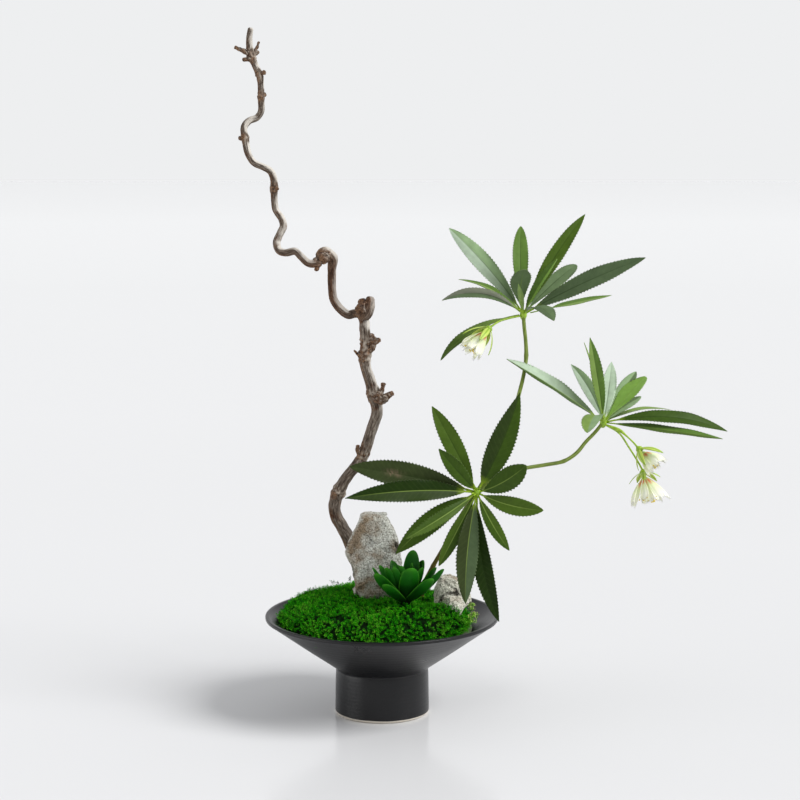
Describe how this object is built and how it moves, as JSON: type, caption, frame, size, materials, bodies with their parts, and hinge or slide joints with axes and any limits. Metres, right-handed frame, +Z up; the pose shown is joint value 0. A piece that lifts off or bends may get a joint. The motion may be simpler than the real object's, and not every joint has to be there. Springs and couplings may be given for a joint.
{
  "type": "ikebana arrangement",
  "caption": "Ikebana arrangement in a footed black bowl: a twisted branch, a leafy spray with small white blooms, a succulent rosette and rough stones stand in a mound of moss.",
  "frame": {"origin": "centre of the underside of the bowl's foot", "axes": "+Z up, +X to the viewer's right, and the arrangement faces -Y"},
  "size_m": [0.4163, 0.2, 0.5798],
  "materials": {
    "bowl_glaze": "matte black glaze with a soft sheen",
    "foam": "soaked green floral foam",
    "moss": "fine feathery cushion moss",
    "pale_stone": "rough, finely speckled",
    "grey_stone": "rough, broken",
    "bark": "weathered grey-brown bark",
    "succulent_leaf": "satin, fleshy",
    "green_stem": "smooth olive-green bark",
    "leaf": "satin leaf with a pale midrib",
    "calyx": "satin yellow-green",
    "petal": "soft translucent white"
  },
  "bodies": {
    "root": {"bowl": "bowl_glaze", "foam": "foam", "moss": "moss", "standing_stone": "pale_stone", "low_stone": "grey_stone", "twisted_branch": "bark", "succulent": "succulent_leaf", "spray_stem": "green_stem", "front_leaves": "leaf", "upper_leaves": "leaf", "right_leaves": "leaf", "upper_bloom_calyx": "calyx", "upper_bloom_petals": "petal", "right_upper_bloom_calyx": "calyx", "right_upper_bloom_petals": "petal", "right_lower_bloom_calyx": "calyx", "right_lower_bloom_petals": "petal"}
  },
  "joints": []
}
